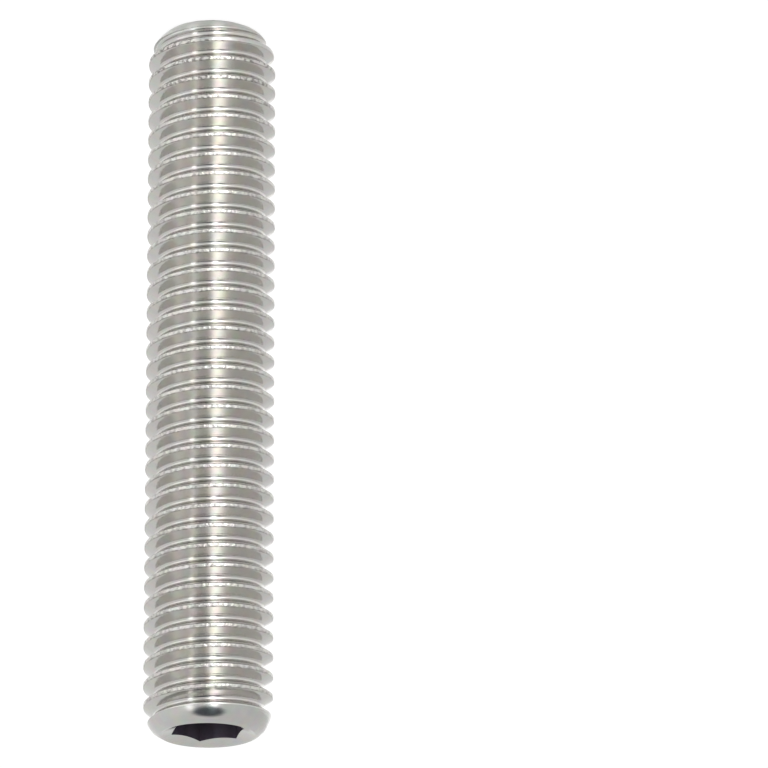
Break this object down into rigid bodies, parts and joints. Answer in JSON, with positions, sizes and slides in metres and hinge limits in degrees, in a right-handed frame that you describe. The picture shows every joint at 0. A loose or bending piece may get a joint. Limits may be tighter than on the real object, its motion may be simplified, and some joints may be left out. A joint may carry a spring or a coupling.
{
  "type": "fully threaded stud",
  "caption": "Stainless steel stud, threaded end to end, with chamfered flat ends and a hexagon socket in one end to turn it by.",
  "frame": {"origin": "middle of the plain end's flat, which the stud stands on", "axes": "+Z along the stud's axis, from the plain end to the socket end; the socket has two corners on the X axis"},
  "size_m": [0.0078, 0.0078, 0.045],
  "materials": {
    "steel": "bright rolled thread, satin turned ends"
  },
  "bodies": {
    "root": {"stud": "steel"}
  },
  "joints": []
}
